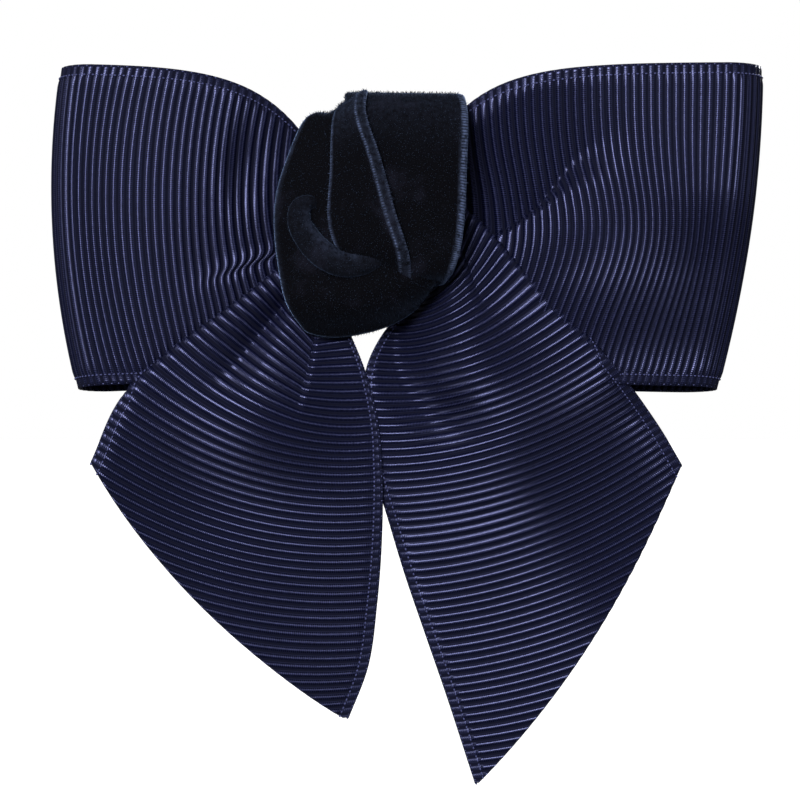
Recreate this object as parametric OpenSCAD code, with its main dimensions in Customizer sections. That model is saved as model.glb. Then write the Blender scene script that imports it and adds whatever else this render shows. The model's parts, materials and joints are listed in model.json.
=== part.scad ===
// Hair bow: four lengths of wide grosgrain gathered under thread, a knotted velvet centre,
// and a sprung alligator clip whose upper jaw is caught in the velvet wrap.
// The front of the bow faces -Y and +Z is up, as worn. All sizes are in millimetres.
// The origin is where the clip's jaws close on the hair, in line with the middle of the knot.

/* [Grosgrain ribbon] */
// Width of the grosgrain ribbon
ribbon_w = 50; // [40:1:60]
// Thickness of the grosgrain ribbon
ribbon_t = 0.6; // [0.5:0.1:0.8]

/* [Loops] */
// Reach of the left loop at its upper corner, from the middle of the knot
left_reach = 48; // [40:1:60]
// Reach of the right loop at its upper corner
right_reach = 60.5; // [50:0.5:72]
// How far the left loop's outer fold bows out between its corners
left_belly = 2.5; // [0:0.5:5]
// How far the right loop's outer fold bows out between its corners
right_belly = 1.6; // [0:0.2:5]
// How much less the left loop reaches at its lower corner
left_lean = 2.6; // [0:0.2:8]
// How much less the right loop reaches at its lower corner
right_lean = 6.8; // [0:0.2:10]
// Fullness of the left loop, front to back
left_full = 9; // [7:0.5:10]
// Fullness of the right loop, front to back
right_full = 9.5; // [7:0.5:10]
// Length over which a gathered loop spreads to its full width
loop_spread = 8; // [6:0.5:12]

/* [Tails] */
// Drop of the left tail's point below the middle of the knot
left_drop = 76; // [60:1:95]
// Drop of the right tail's point
right_drop = 87; // [70:1:105]
// How far out the left tail's short corner lies
left_out = 43; // [34:1:52]
// How far out the right tail's short corner lies
right_out = 48.5; // [40:0.5:58]
// Drop of both tails' short corners below the loops' lower edges
corner_drop = 12; // [6:1:20]
// Sideways place of the left tail's point
left_tip = -3; // [-8:1:0]
// Sideways place of the right tail's point
right_tip = 16; // [10:1:20]

/* [Gather and thread] */
// Height of the gathered ribbons under the thread
neck_h = 14; // [11:1:18]
// Thickness of one gathered ribbon layer under the thread
neck_t = 1.4; // [1.2:0.1:1.7]
// Diameter of the binding thread
thread_d = 0.7; // [0.5:0.1:0.9]
// Turns of the binding thread
thread_turns = 5; // [3:1:7]

/* [Velvet] */
// Thickness of the velvet ribbon
velvet_t = 1; // [0.8:0.1:1.2]
// Width of the folded velvet where it wraps round the back
wrap_w = 10; // [8:0.5:12]
// Width of the knot
knot_w = 30.5; // [26:0.5:36]
// Height of the knot
knot_h = 38; // [32:1:44]
// Height of the knot's top above the middle of the gather
knot_top = 21; // [18:1:24]
// Depth of the knot in front of the wrap
knot_d = 11; // [8:1:14]

/* [Clip] */
// Width of the clip's jaws and finger tabs
jaw_w = 8; // [7:0.5:10]
// Thickness of the clip's sheet steel
jaw_t = 0.8; // [0.6:0.1:1]
// Length of the jaws from the tip to the hinge pin
jaw_l = 31; // [28:1:38]
// Length of the finger tabs past the hinge pin
tab_l = 14; // [12:1:18]
// Slope of the upper finger tab, in degrees
upper_flare = 12; // [8:1:14]
// Slope of the lower finger tab, in degrees
lower_flare = 20; // [16:1:24]
// Thickness of the lining ribbon on the upper jaw
lining_t = 0.4; // [0.3:0.1:0.5]
// Diameter of the hinge pin
pin_d = 1.6; // [1.4:0.1:1.8]
// Diameter of the spring wire
wire_d = 0.6; // [0.5:0.1:0.7]
// Number of teeth on each side of the lower jaw
teeth = 6; // [4:1:7]

/* [Clearances] */
// Gap between wrapped or stacked layers
snug = 0.1; // [0.05:0.05:0.2]
// Running clearance of the lower jaw on the pin
pin_clear = 0.05; // [0.02:0.01:0.09]
// Gap between the side ears of the two jaws
ear_gap = 0.2; // [0.15:0.05:0.3]
// Gap between the closed teeth and the lining
bite_gap = 0.25; // [0.2:0.05:0.5]
// Gap between the lower jaw and the velvet on the upper jaw
arch_gap = 0.4; // [0.3:0.1:0.6]

/* [Hidden] */
navy = [0.07, 0.09, 0.22];
ink = [0.03, 0.04, 0.10];
steel = [0.72, 0.73, 0.75];

// Front to back: the lining's inner face lies just in front of the grip plane at Y = 0.
upper_in = -(lining_t + snug);
upper_out = upper_in - jaw_t;
lining_out = upper_out - lining_t;
thread_back = lining_out - snug;
bundle_back = thread_back - thread_d - snug;
layer_pitch = neck_t + snug;
// The layers of the gather, numbered from the back
LEFT_LOOP_LAYER = 0;
RIGHT_LOOP_LAYER = 2;
RIGHT_TAIL_LAYER = 4;
LEFT_TAIL_LAYER = 5;
LAYERS = 6;
function layer_y(i) = bundle_back - neck_t / 2 - i * layer_pitch;
bundle_front = layer_y(LAYERS - 1) - neck_t / 2;
knot_back = bundle_front - thread_d - 2 * snug;
// Height of the space inside the wrap, and how far each gathered end runs past the middle
wrap_inside = neck_h + 2 * (thread_d + 2 * snug);
neck_past = 3;
// Where the ribbons come out of the wrap and start to spread
beside = wrap_w / 2 + 1.5;

function clamp(t) = min(max(t, 0), 1);
function ease(t) = let (u = clamp(t)) u * u * (3 - 2 * u);
function mix(a, b, t) = a + (b - a) * t;

// A closed sheet from a grid of middle points and a grid of thicknesses.
function grid_normal(p, i, j) =
    let (
        n = len(p) - 1,
        m = len(p[0]) - 1,
        along = p[min(i + 1, n)][j] - p[max(i - 1, 0)][j],
        across = p[i][min(j + 1, m)] - p[i][max(j - 1, 0)],
        c = cross(along, across)
    )
    c / norm(c);

module sheet(p, t) {
    n = len(p);
    m = len(p[0]);
    face = [for (i = [0:n - 1]) for (j = [0:m - 1]) p[i][j] + grid_normal(p, i, j) * t[i][j] / 2];
    rear = [for (i = [0:n - 1]) for (j = [0:m - 1]) p[i][j] - grid_normal(p, i, j) * t[i][j] / 2];
    b = n * m;
    at = function (i, j) i * m + j;
    quads = [
        for (i = [0:n - 2]) for (j = [0:m - 2])
            each [
                [at(i, j), at(i, j + 1), at(i + 1, j + 1)],
                [at(i, j), at(i + 1, j + 1), at(i + 1, j)],
                [b + at(i, j), b + at(i + 1, j + 1), b + at(i, j + 1)],
                [b + at(i, j), b + at(i + 1, j), b + at(i + 1, j + 1)]
            ]
    ];
    rim = concat(
        [for (j = [0:m - 2]) at(0, j)],
        [for (i = [0:n - 2]) at(i, m - 1)],
        [for (j = [m - 1:-1:1]) at(n - 1, j)],
        [for (i = [n - 1:-1:1]) at(i, 0)]
    );
    r = len(rim);
    walls = [
        for (k = [0:r - 1])
            let (q = (k + 1) % r)
            each [[rim[k], b + rim[k], b + rim[q]], [rim[k], b + rim[q], rim[q]]]
    ];
    polyhedron(concat(face, rear), concat(quads, walls), convexity = 8);
}

// Half the height of a loop at a distance from the middle of the knot
function loop_half(x) =
    mix(neck_h, ribbon_w, 1 - exp(-max(x - beside, 0) / loop_spread)) / 2;

// A loop is one strip doubled over: front layer out, round the outer fold, back layer in.
LOOP_ROWS = 36;
LOOP_COLUMNS = 8;
// How far in front of the gather the middle of each loop lies once it has left the wrap
loop_forward = [4.6, 3.2];

module loop(side, reach, belly, lean, full, layer, forward) {
    back_y = layer_y(layer);
    front_y = layer_y(layer + 1);
    p = [
        for (i = [0:LOOP_ROWS])
            [
                for (j = [0:LOOP_COLUMNS])
                    let (
                        turn = 360 * i / LOOP_ROWS,
                        down = 1 - j / LOOP_COLUMNS,
                        out = (1 - cos(turn)) / 2,
                        far = reach + belly * 4 * down * (1 - down) - lean * down,
                        x = -neck_past + (far + neck_past) * out,
                        middle = (back_y + front_y) / 2 - forward * ease((x - wrap_w / 2) / 17),
                        ply = (front_y - back_y) / 2 * (1 - ease((x - wrap_w / 2) / 20)),
                        face = turn <= 180 ? 1 : -1,
                        y = middle + face * ply - full * sin(turn) * out * ease((x - wrap_w / 2) / 9)
                    )
                    [side * x, y, mix(1, -1, down) * loop_half(x)]
            ]
    ];
    t = [
        for (row = p)
            [for (q = row) mix(neck_t, ribbon_t, ease((side * q.x - wrap_w / 2) / 12))]
    ];
    sheet(p, t);
}

module left_loop() {
    color(navy) loop(-1, left_reach, left_belly, left_lean, left_full, LEFT_LOOP_LAYER, loop_forward[0]);
}

module right_loop() {
    color(navy)
        loop(1, right_reach, right_belly, right_lean, right_full, RIGHT_LOOP_LAYER, loop_forward[1]);
}

// A smooth curve through points, with t from 0 to the number of spans
function through(p, t) =
    let (
        n = len(p) - 1,
        i = min(floor(t), n - 1),
        u = t - i,
        a = p[max(i - 1, 0)],
        b = p[i],
        c = p[i + 1],
        d = p[min(i + 2, n)]
    )
    0.5 * (2 * b + (c - a) * u + (2 * a - 5 * b + 4 * c - d) * u * u
        + (3 * b - a - 3 * c + d) * u * u * u);

// A tail runs between two border lines: the outer one ends at the short corner of the slanted
// cut and the inner one at the point. Stations are [sideways, up, forward of the neck].
TAIL_STEPS = 4;
TAIL_COLUMNS = 8;

module tail(side, outer, inner, layer) {
    y0 = layer_y(layer);
    spans = len(outer) - 1;
    rows = spans * TAIL_STEPS;
    at = function (line, t) let (q = through(line, t)) [side * q.x, y0 - q.z, q.y];
    p = [
        for (i = [0:rows])
            let (a = at(inner, i / TAIL_STEPS), b = at(outer, i / TAIL_STEPS))
            [for (j = [0:TAIL_COLUMNS]) mix(a, b, j / TAIL_COLUMNS)]
    ];
    t = [
        for (i = [0:rows])
            [for (j = [0:TAIL_COLUMNS]) mix(neck_t, ribbon_t, ease((i / TAIL_STEPS - 2) / 1.2))]
    ];
    sheet(p, t);
}

// Half the height of a tail's end under the thread
neck_half = neck_h / 2 - 1;
// How far the tails' short corners lie below the middle of the knot, clear of the loops
corner_low = ribbon_w / 2 + corner_drop;

module left_tail() {
    outer = [
        [-neck_past, neck_half, 0],
        [neck_past, neck_half, 0],
        [beside, neck_half - 1, 0.1],
        [0.29 * left_out, -0.08 * corner_low, 1.2],
        [0.52 * left_out, -0.35 * corner_low, 3.7],
        [0.86 * left_out, -0.68 * corner_low, 5.3],
        [0.955 * left_out, -0.86 * corner_low, 4.8],
        [left_out, -corner_low, 4]
    ];
    inner = [
        [-neck_past, -neck_half, 0],
        [neck_past, -neck_half, 0],
        [beside, -neck_half, 0.1],
        [beside + 1, -neck_half - 5, 0.8],
        [4, -0.22 * left_drop, 1],
        [0, -0.34 * left_drop, 2.9],
        [-1.7, -0.56 * left_drop, 2.7],
        [-left_tip, -left_drop, 1.2]
    ];
    color(navy) tail(-1, outer, inner, LEFT_TAIL_LAYER);
}

module right_tail() {
    outer = [
        [-neck_past, neck_half, 0],
        [neck_past, neck_half, 0],
        [beside, neck_half, 0.6],
        [0.29 * right_out, 0.08 * corner_low, 3.3],
        [0.48 * right_out, -0.19 * corner_low, 5.8],
        [0.73 * right_out, -0.53 * corner_low, 8.2],
        [0.89 * right_out, -0.79 * corner_low, 8],
        [right_out, -corner_low, 7]
    ];
    inner = [
        [-neck_past, -neck_half, 0],
        [neck_past, -neck_half, 0],
        [beside, -neck_half, 0.6],
        [beside + 3.2, -neck_half - 4, 2.1],
        [2.5, -0.19 * right_drop, 2.4],
        [-0.5, -0.3 * right_drop, 3],
        [2, -0.49 * right_drop, 2.9],
        [right_tip, -right_drop, 1.7]
    ];
    color(navy) tail(1, outer, inner, RIGHT_TAIL_LAYER);
}

// A round tube through a list of points, closed at both ends
module tube(path, r, sides) {
    n = len(path);
    ring = function (k)
        let (
            d = path[min(k + 1, n - 1)] - path[max(k - 1, 0)],
            f = d / norm(d),
            s = abs(f.x) < 0.9 ? [1, 0, 0] : [0, 0, 1],
            a = cross(f, s) / norm(cross(f, s)),
            b = cross(f, a)
        )
        [for (i = [0:sides - 1]) path[k] + r * (cos(360 * i / sides) * a + sin(360 * i / sides) * b)];
    points = [for (k = [0:n - 1]) each ring(k)];
    skin = [
        for (k = [0:n - 2]) for (i = [0:sides - 1])
            let (a = k * sides + i, b = k * sides + (i + 1) % sides)
            each [[a, a + sides, b + sides], [a, b + sides, b]]
    ];
    first = [for (i = [0:sides - 1]) i];
    last = [for (i = [sides - 1:-1:0]) (n - 1) * sides + i];
    polyhedron(points, concat(skin, [first, last]), convexity = 8);
}

module gather_thread() {
    corner = thread_d / 2 + 0.15;
    half_y = (bundle_back - bundle_front) / 2 + snug + thread_d / 2;
    half_z = neck_h / 2 + snug + thread_d / 2;
    middle = (bundle_back + bundle_front) / 2;
    pitch = thread_d + snug;
    steps = 24;
    path = [
        for (k = [0:thread_turns * steps])
            let (
                quarter = floor((k % steps) / (steps / 4)),
                angle = 90 * quarter + 90 * ((k % (steps / 4)) / (steps / 4 - 1)),
                sy = quarter == 0 || quarter == 3 ? 1 : -1,
                sz = quarter < 2 ? 1 : -1
            )
            [
                pitch * (k / steps - thread_turns / 2),
                middle + sy * (half_y - corner) + corner * cos(angle),
                sz * (half_z - corner) + corner * sin(angle)
            ]
    ];
    color(ink) tube(path, thread_d / 2, 6);
}

// A soft slab of the knot: rounded, between two depths, over a few corners [x, z]
module fold(corners, y_back, y_front, r) {
    hull()
        for (c = corners)
            for (y = [y_back - r, y_front + r])
                translate([c.x, y, c.y]) sphere(r, $fn = 24);
}

// The outline of the space that the wrap goes round: gather and thread, then the upper jaw
module wrap_inside_outline() {
    half = wrap_inside / 2;
    polygon([
        [knot_back, -half],
        [knot_back, half],
        [thread_back - snug, half],
        [0, jaw_w / 2 + snug],
        [0, -jaw_w / 2 - snug],
        [thread_back - snug, -half]
    ]);
}

module velvet_knot() {
    left = -knot_w / 2;
    right = knot_w / 2;
    top = knot_top;
    bottom = knot_top - knot_h;
    front = knot_back - velvet_t - knot_d;
    back = knot_back - velvet_t + 0.2;
    r = 2.4;
    color(ink)
        union() {
            rotate([0, 90, 0])
                rotate([0, 0, 90])
                    linear_extrude(wrap_w, center = true)
                        difference() {
                            offset(delta = velvet_t) wrap_inside_outline();
                            wrap_inside_outline();
                        }
            // the band that comes over the top and runs down the right side
            fold(
                [[left + 15, top - r], [right - r, top - r - 1], [right - r, bottom + 13], [left + 15, bottom + 9]],
                back, front + 4, r
            );
            // the band that wraps from the upper left across the bottom
            fold(
                [
                    [left + 6, top - 7],
                    [left + r, bottom + 20],
                    [left + r + 1, bottom + 8],
                    [left + 6, bottom + r],
                    [right - 13, bottom + r + 1],
                    [right - 9, bottom + 8]
                ],
                back, front + 3, r
            );
            // the flap that lies over both and tucks under at the lower right
            fold(
                [[left + 11.5, top - 5], [left + 14, top - r - 1], [right - 12, bottom + 9], [left + 12, bottom + 16]],
                back - 3, front, r
            );
        }
}

// The clip. The pin's axis is parallel to Z.
pin_x = jaw_l / 2 - 2.5;
tip_x = pin_x - jaw_l;
ear_r = pin_d / 2 + 1.1;
coil_r = pin_d / 2 + 0.35 + wire_d / 2;
pin_y = upper_in + snug * 2 + ear_r;
lower_in = pin_y + coil_r + wire_d / 2 + 0.35;
lower_out = lower_in + jaw_t;
lower_w = jaw_w - 2 * jaw_t - 2 * ear_gap;
tab_x = pin_x + 3;
tab_run = tab_l - 3;
nose_r = 2.5;

// A plate in the XZ plane with a rounded nose at its tip, from its inner face to its outer face
module jaw_plate(width, y_low, y_high, x_end) {
    translate([0, y_high, 0])
        rotate([90, 0, 0])
            linear_extrude(y_high - y_low) {
                translate([tip_x + nose_r, -width / 2]) square([x_end - tip_x - nose_r, width]);
                translate([tip_x, -width / 2 + nose_r]) square([nose_r + 1, width - 2 * nose_r]);
                for (s = [-1, 1])
                    translate([tip_x + nose_r, s * (width / 2 - nose_r)]) circle(nose_r, $fn = 48);
            }
}

// A finger tab that slopes away from its plate, with rounded corners at its end
module finger_tab(y_low, y_high, angle) {
    hinge_y = angle > 0 ? y_low : y_high;
    translate([tab_x, hinge_y, 0])
        rotate([0, 0, angle])
            translate([0, y_high - hinge_y, 0])
                rotate([90, 0, 0])
                    linear_extrude(y_high - y_low) {
                        translate([0, -jaw_w / 2]) square([tab_run - nose_r, jaw_w]);
                        translate([tab_run - nose_r - 1, -jaw_w / 2 + nose_r])
                            square([nose_r + 1, jaw_w - 2 * nose_r]);
                        for (s = [-1, 1])
                            translate([tab_run - nose_r, s * (jaw_w / 2 - nose_r)])
                                circle(nose_r, $fn = 48);
                    }
}

module ears(width, y_from, bore) {
    for (s = [-1, 1])
        translate([0, 0, s * (width / 2 - jaw_t / 2)])
            linear_extrude(jaw_t, center = true)
                difference() {
                    union() {
                        translate([pin_x, pin_y]) circle(ear_r, $fn = 48);
                        translate([pin_x - ear_r, min(y_from, pin_y)])
                            square([2 * ear_r, abs(pin_y - y_from)]);
                    }
                    translate([pin_x, pin_y]) circle(bore / 2, $fn = 48);
                }
}

module upper_jaw() {
    color(steel)
        union() {
            jaw_plate(jaw_w, upper_out, upper_in, tab_x);
            ears(jaw_w, upper_out, pin_d + 0.04);
            finger_tab(upper_out, upper_in, -upper_flare);
        }
}

// The side walls of the lower jaw arch clear of the velvet and carry the teeth near the tip.
module lower_wall() {
    clear_y = velvet_t + arch_gap;
    bite_y = -snug + bite_gap;
    tooth = (-wrap_w / 2 - 1 - tip_x - 1) / teeth;
    start = tip_x + 1;
    difference() {
        polygon(
            concat(
                [[pin_x + ear_r, lower_out], [tip_x, lower_out], [tip_x, bite_y + 1]],
                [
                    for (k = [0:teeth - 1])
                        each [
                            [start + k * tooth, bite_y + 1],
                            [start + (k + 0.45) * tooth, bite_y + mix(0, clear_y - bite_y, k / teeth)]
                        ]
                ],
                [[start + teeth * tooth, clear_y], [pin_x - ear_r - 1, clear_y], [pin_x, clear_y + 0.6],
                    [pin_x + ear_r, lower_in - 0.6]]
            )
        );
        translate([pin_x, pin_y]) circle(pin_d / 2 + pin_clear, $fn = 48);
    }
}

module lower_jaw() {
    color(steel)
        union() {
            jaw_plate(lower_w, lower_in, lower_out, tab_x);
            ears(lower_w, lower_out, pin_d + 2 * pin_clear);
            for (s = [-1, 1])
                translate([0, 0, s * (lower_w / 2 - jaw_t / 2)])
                    linear_extrude(jaw_t, center = true) lower_wall();
            finger_tab(lower_in, lower_out, lower_flare);
        }
}

module hinge_pin() {
    head_t = 0.5;
    reach = jaw_w / 2 + snug / 2;
    color(steel)
        translate([pin_x, pin_y, 0])
            union() {
                cylinder(h = 2 * reach, r = pin_d / 2, center = true, $fn = 48);
                for (s = [-1, 1])
                    translate([0, 0, s * (reach + head_t / 2)])
                        cylinder(h = head_t, r = pin_d / 2 + 0.5, center = true, $fn = 48);
            }
}

// Coil with a straight leg at each end that presses on the inside of a finger tab
module torsion_spring() {
    turns = 3.5;
    steps = 20;
    pitch = wire_d + 0.02;
    half = turns * pitch / 2;
    knee = 3.5;
    tip = tab_l - 3;
    touch = wire_d / 2 + 0.06;
    upper_tip = upper_in - (tip - 3) * tan(upper_flare) + touch / cos(upper_flare);
    lower_tip = lower_in + (tip - 3) * tan(lower_flare) - touch / cos(lower_flare);
    path = concat(
        [[pin_x + tip, lower_tip, half], [pin_x + knee, pin_y + coil_r, half]],
        [
            for (k = [0:turns * steps])
                let (angle = 90 + 360 * k / steps)
                [
                    pin_x + coil_r * cos(angle),
                    pin_y + coil_r * sin(angle),
                    half - pitch * k / steps
                ]
        ],
        [[pin_x + knee, pin_y - coil_r, -half], [pin_x + tip, upper_tip, -half]]
    );
    color(steel) tube(path, wire_d / 2, 8);
}

// Ribbon glued along both faces of the upper jaw and folded round its tip
module clip_lining() {
    end_x = pin_x - ear_r - 1;
    color(navy)
        difference() {
            translate([tip_x - lining_t, lining_out, -jaw_w / 2])
                cube([end_x - tip_x + lining_t, jaw_t + 2 * lining_t, jaw_w]);
            translate([tip_x, upper_out, -jaw_w / 2 - 1])
                cube([end_x - tip_x + 1, jaw_t, jaw_w + 2]);
        }
}

left_loop();
right_loop();
left_tail();
right_tail();
gather_thread();
velvet_knot();
clip_lining();
upper_jaw();
lower_jaw();
hinge_pin();
torsion_spring();
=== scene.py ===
import json
import math

import bmesh
import bpy
import numpy as np
from bpy.props import FloatProperty, FloatVectorProperty, IntProperty, PointerProperty
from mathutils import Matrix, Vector


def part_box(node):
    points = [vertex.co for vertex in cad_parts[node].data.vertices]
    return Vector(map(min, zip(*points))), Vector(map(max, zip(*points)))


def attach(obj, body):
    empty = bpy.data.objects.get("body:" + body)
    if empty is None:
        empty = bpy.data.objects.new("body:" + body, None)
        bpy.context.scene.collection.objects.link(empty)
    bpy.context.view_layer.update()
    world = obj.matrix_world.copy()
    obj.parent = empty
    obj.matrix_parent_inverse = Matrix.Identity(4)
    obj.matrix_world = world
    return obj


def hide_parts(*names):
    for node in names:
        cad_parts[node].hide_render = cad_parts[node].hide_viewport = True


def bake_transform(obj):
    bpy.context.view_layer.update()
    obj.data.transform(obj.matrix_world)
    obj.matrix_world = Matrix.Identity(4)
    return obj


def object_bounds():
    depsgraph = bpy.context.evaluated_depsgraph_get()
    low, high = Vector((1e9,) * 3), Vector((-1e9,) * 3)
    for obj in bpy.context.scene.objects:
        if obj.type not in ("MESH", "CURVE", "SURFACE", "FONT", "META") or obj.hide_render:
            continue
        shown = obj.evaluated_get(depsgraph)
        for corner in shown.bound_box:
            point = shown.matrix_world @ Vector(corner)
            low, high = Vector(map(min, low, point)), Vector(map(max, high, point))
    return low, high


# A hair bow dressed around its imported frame: ribbed ribbon loops and tails, a velvet knot with
# its pile, the binding thread and the sprung clip behind. The front faces -Y and +Z is up.
# Shapes are worked out in millimetres and become metres when their mesh is made.

bl_info = {
    "name": "Hair bow",
    "version": (1, 0, 0),
    "blender": (4, 5, 0),
    "location": "3D View > Sidebar > Hair Bow",
    "description": "Dresses a hair bow's frame in ribbed ribbon, velvet and a steel clip",
    "category": "Object",
}

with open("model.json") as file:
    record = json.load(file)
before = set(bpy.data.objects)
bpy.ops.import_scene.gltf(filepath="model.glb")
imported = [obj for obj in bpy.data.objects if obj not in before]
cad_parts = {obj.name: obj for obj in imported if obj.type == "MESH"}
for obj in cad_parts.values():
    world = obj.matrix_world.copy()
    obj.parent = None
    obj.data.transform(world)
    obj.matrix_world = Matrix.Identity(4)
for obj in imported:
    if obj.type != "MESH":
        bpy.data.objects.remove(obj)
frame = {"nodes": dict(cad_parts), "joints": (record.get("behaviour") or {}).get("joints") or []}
FRAME_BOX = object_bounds()
MM = 0.001
BOW = "bow"

# Number of mesh steps along one rib and across one ribbon
RIB_STEPS = 6
RIBBON_COLUMNS = 72
RIBBON_WIDTH = 50.0


# ---------------------------------------------------------------- settings

class HairBowSizes(bpy.types.PropertyGroup):
    """Sizes of the finish, which the frame leaves open"""

    rib_pitch: FloatProperty(
        name="Rib pitch", description="Distance from rib to rib along the ribbon",
        default=0.00126, unit="LENGTH")
    rib_height: FloatProperty(
        name="Rib height", description="How far each rib stands up from its groove",
        default=0.00036, unit="LENGTH")
    ribbon_thickness: FloatProperty(
        name="Ribbon thickness", description="Thickness of the ribbon between its ribs",
        default=0.00024, unit="LENGTH")
    selvedge: FloatProperty(
        name="Selvedge", description="Width of the flat woven edge",
        default=0.0019, unit="LENGTH")
    stitch_pitch: FloatProperty(
        name="Stitch pitch", description="Distance from one edge stitch to the next",
        default=0.00068, unit="LENGTH")
    stitch_length: FloatProperty(
        name="Stitch length", description="Length of one edge stitch",
        default=0.00046, unit="LENGTH")
    stitch_width: FloatProperty(
        name="Stitch width", description="Thickness of one edge stitch",
        default=0.00026, unit="LENGTH")
    thread: FloatProperty(
        name="Thread diameter", description="Diameter of the binding thread",
        default=0.0007, unit="LENGTH")
    wire: FloatProperty(
        name="Wire diameter", description="Diameter of the spring wire",
        default=0.0006, unit="LENGTH")
    velvet_thickness: FloatProperty(
        name="Velvet thickness", description="Thickness of the velvet ribbon",
        default=0.001, unit="LENGTH")
    pile_length: FloatProperty(
        name="Pile length", description="Length of one velvet fibre",
        default=0.00042, unit="LENGTH")
    pile_density: FloatProperty(
        name="Pile density", description="Velvet fibres on one square metre",
        default=9.0e6)
    pile_seed: IntProperty(
        name="Pile seed", description="Seed of the velvet fibres' places", default=7)


class HairBowColours(bpy.types.PropertyGroup):
    """Colours of the cloth and metal"""

    # groove is painted shade: the ribbon colour darkened for the grooves between ribs, and for the
    # gaps between the binding thread's plies
    groove: FloatVectorProperty(
        name="Groove", description="Ribbon colour in the grooves between ribs",
        subtype="COLOR", size=3, default=(0.0010, 0.0012, 0.0050))
    rib: FloatVectorProperty(
        name="Rib", description="Ribbon colour on the ribs",
        subtype="COLOR", size=3, default=(0.0042, 0.0056, 0.0240))
    # crest is a painted highlight: a lighter colour along the top of each rib that stands in for
    # the gloss there
    crest_highlight: FloatVectorProperty(
        name="Crest", description="Colour of the bright yarn along the top of each rib",
        subtype="COLOR", size=3, default=(0.034, 0.038, 0.095))
    ribbon_shine: FloatVectorProperty(
        name="Ribbon shine", description="Colour of the ribbon's gloss",
        subtype="COLOR", size=3, default=(0.46, 0.50, 1.0))
    pile: FloatVectorProperty(
        name="Pile", description="Velvet colour seen straight on",
        subtype="COLOR", size=3, default=(0.0016, 0.0017, 0.0032))
    # edge_and_sheen is the woven ground at the velvet's edges, and also painted sheen on the curl
    # and the tops of the folds
    edge_and_sheen: FloatVectorProperty(
        name="Velvet edge", description="Velvet colour where the woven ground shows",
        subtype="COLOR", size=3, default=(0.105, 0.140, 0.260))
    steel: FloatVectorProperty(
        name="Steel", description="Colour of the plated clip",
        subtype="COLOR", size=3, default=(0.62, 0.63, 0.65))


def sizes():
    return bpy.context.scene.hair_bow_sizes


def colours():
    return bpy.context.scene.hair_bow_colours


# ---------------------------------------------------------------- curves and surfaces

def ease(t):
    """A smooth rise from 0 to 1 while t goes from 0 to 1"""
    t = np.clip(t, 0.0, 1.0)
    return t * t * (3 - 2 * t)


def hump(x, middle, width):
    """A smooth bump that is 1 at its middle"""
    return np.exp(-(((x - middle) / width) ** 2))


def between(x, start, end, soft):
    """1 from start to end, with soft shoulders outside"""
    return ease((x - start) / soft + 1) * ease((end - x) / soft + 1)


def through(knots, values, at):
    """A smooth curve through values at knots, read at the places in at"""
    knots = np.asarray(knots, float)
    values = np.asarray(values, float)
    slopes = np.gradient(values, knots, axis=0)
    i = np.clip(np.searchsorted(knots, at) - 1, 0, len(knots) - 2)
    step = knots[i + 1] - knots[i]
    t = (at - knots[i]) / step
    if values.ndim > 1:
        t = t[:, None]
        step = step[:, None]
    return (
        (2 * t**3 - 3 * t**2 + 1) * values[i]
        + (t**3 - 2 * t**2 + t) * step * slopes[i]
        + (3 * t**2 - 2 * t**3) * values[i + 1]
        + (t**3 - t**2) * step * slopes[i + 1]
    )


def outward(centre, flip):
    """Unit normals of a grid of points"""
    along = np.gradient(centre, axis=0)
    across = np.gradient(centre, axis=1)
    normal = np.cross(along, across)
    length = np.linalg.norm(normal, axis=2, keepdims=True)
    normal = normal / np.maximum(length, 1e-9)
    return -normal if flip else normal


def grid_faces(rows, columns, flip):
    """Faces of a closed sheet: its front, its back and the rims that join them"""
    def at(i, j):
        return i * columns + j

    total = rows * columns
    front = [
        (at(i, j), at(i + 1, j), at(i + 1, j + 1), at(i, j + 1))
        for i in range(rows - 1) for j in range(columns - 1)
    ]
    back = [tuple(v + total for v in reversed(f)) for f in front]
    edge = [(at(i, 0), at(i + 1, 0)) for i in range(rows - 1)]
    edge += [(at(rows - 1, j), at(rows - 1, j + 1)) for j in range(columns - 1)]
    edge += [(at(i + 1, columns - 1), at(i, columns - 1)) for i in range(rows - 1)]
    edge += [(at(0, j + 1), at(0, j)) for j in range(columns - 1)]
    rims = [(q, p, p + total, q + total) for p, q in edge]
    faces = front + back + rims
    return [tuple(reversed(f)) for f in faces] if flip else faces


def ring_faces(rings, sides, closed):
    """Faces of a tube of rings, either closed on itself or capped at both ends"""
    last = rings if closed else rings - 1
    faces = [
        (i * sides + j, i * sides + (j + 1) % sides,
         (i + 1) % rings * sides + (j + 1) % sides, (i + 1) % rings * sides + j)
        for i in range(last) for j in range(sides)
    ]
    if not closed:
        faces.append(tuple(reversed(range(sides))))
        faces.append(tuple((rings - 1) * sides + j for j in range(sides)))
    return faces


def make_object(name, points, faces, values=None, vectors=None, edges=()):
    """A smooth-shaded object from points in millimetres, with named values on its points"""
    mesh = bpy.data.meshes.new(name)
    mesh.from_pydata((np.asarray(points) * MM).tolist(), list(edges), faces)
    mesh.polygons.foreach_set("use_smooth", [True] * len(mesh.polygons))
    for label, data in (values or {}).items():
        attribute = mesh.attributes.new(label, "FLOAT", "POINT")
        attribute.data.foreach_set("value", np.asarray(data, np.float32).ravel())
    for label, data in (vectors or {}).items():
        attribute = mesh.attributes.new(label, "FLOAT_VECTOR", "POINT")
        attribute.data.foreach_set("vector", np.asarray(data, np.float32).ravel())
    mesh.update()
    made = bpy.data.objects.new(name, mesh)
    bpy.context.scene.collection.objects.link(made)
    return made


def join(name, parts):
    """One object from several, which go"""
    with bpy.context.temp_override(active_object=parts[0], selected_editable_objects=parts):
        bpy.ops.object.join()
    parts[0].name = name
    parts[0].data.name = name
    return parts[0]


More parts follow.
